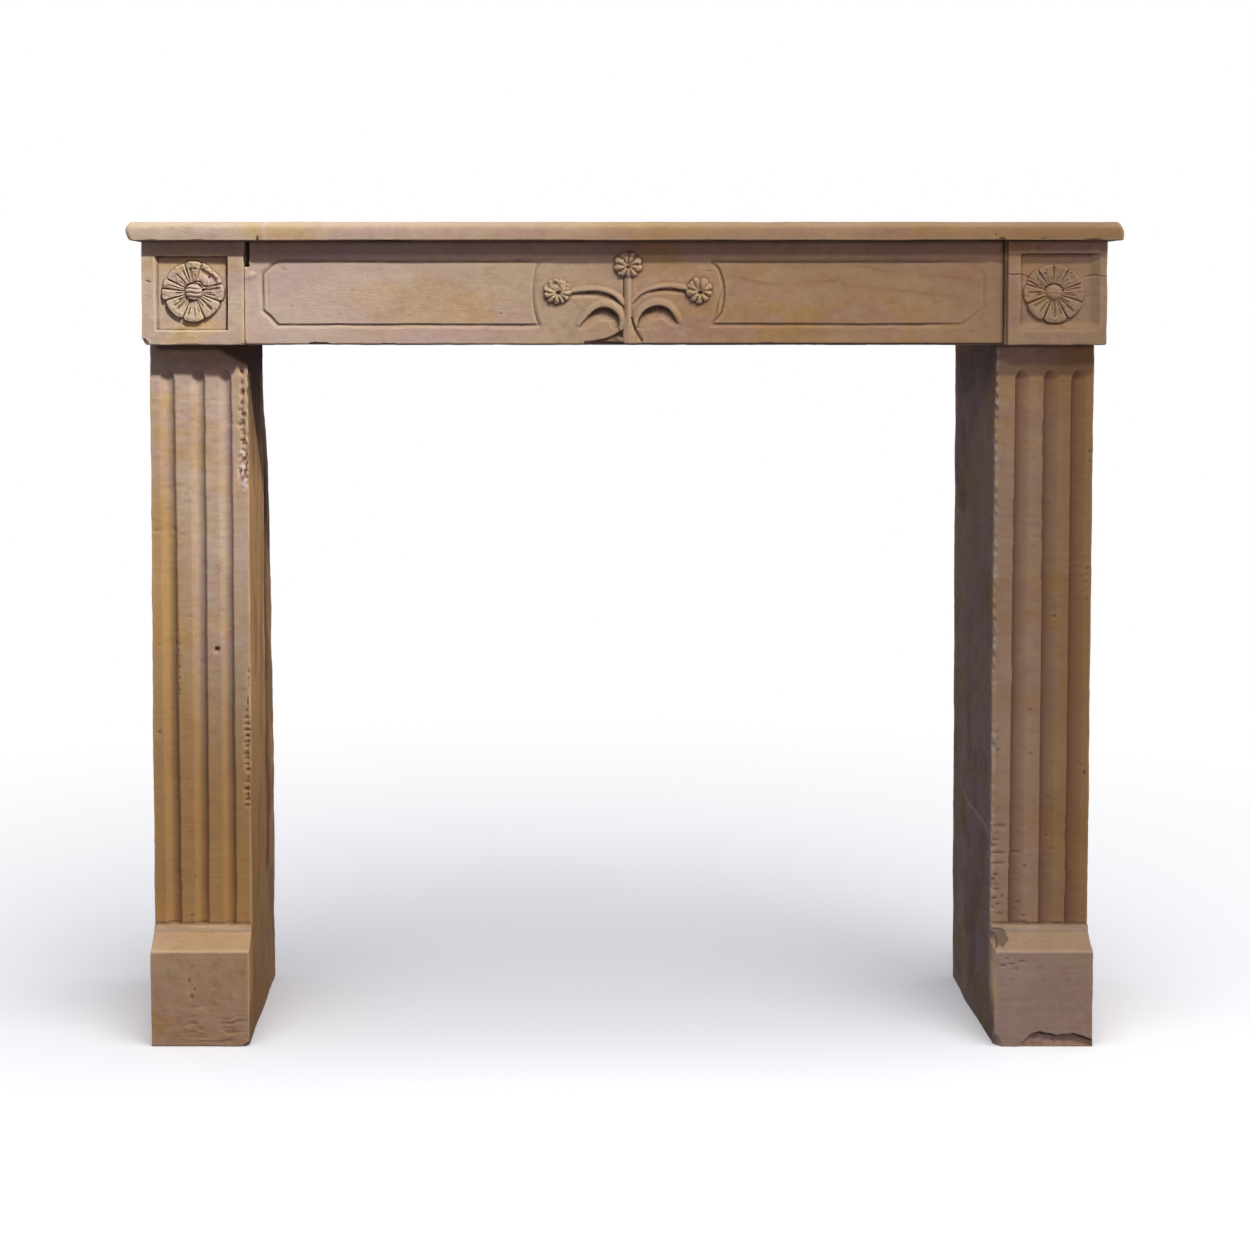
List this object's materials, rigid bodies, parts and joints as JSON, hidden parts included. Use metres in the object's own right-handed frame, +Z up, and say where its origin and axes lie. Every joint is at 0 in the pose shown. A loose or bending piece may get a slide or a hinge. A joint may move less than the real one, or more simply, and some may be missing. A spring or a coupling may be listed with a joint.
{
  "type": "fireplace mantelpiece",
  "caption": "Carved stone chimneypiece that frames a hearth: fluted jambs on plinths carry a panelled lintel with a flower spray, rosette corner blocks and a shelf.",
  "frame": {"origin": "on the floor, under the middle of the whole piece, half way between its front and its back", "axes": "+X to the right as seen from the room, +Y towards the wall behind, +Z up"},
  "size_m": [1.305, 0.328, 1.1],
  "materials": {
    "limestone": "warm beige limestone, matt, finely tooled, with brown veins, pinkish patches, pits and worn arrises"
  },
  "bodies": {
    "root": {"shelf": "limestone", "corner_block_left": "limestone", "lintel": "limestone", "corner_block_right": "limestone", "jamb_left": "limestone", "jamb_right": "limestone"}
  },
  "joints": []
}
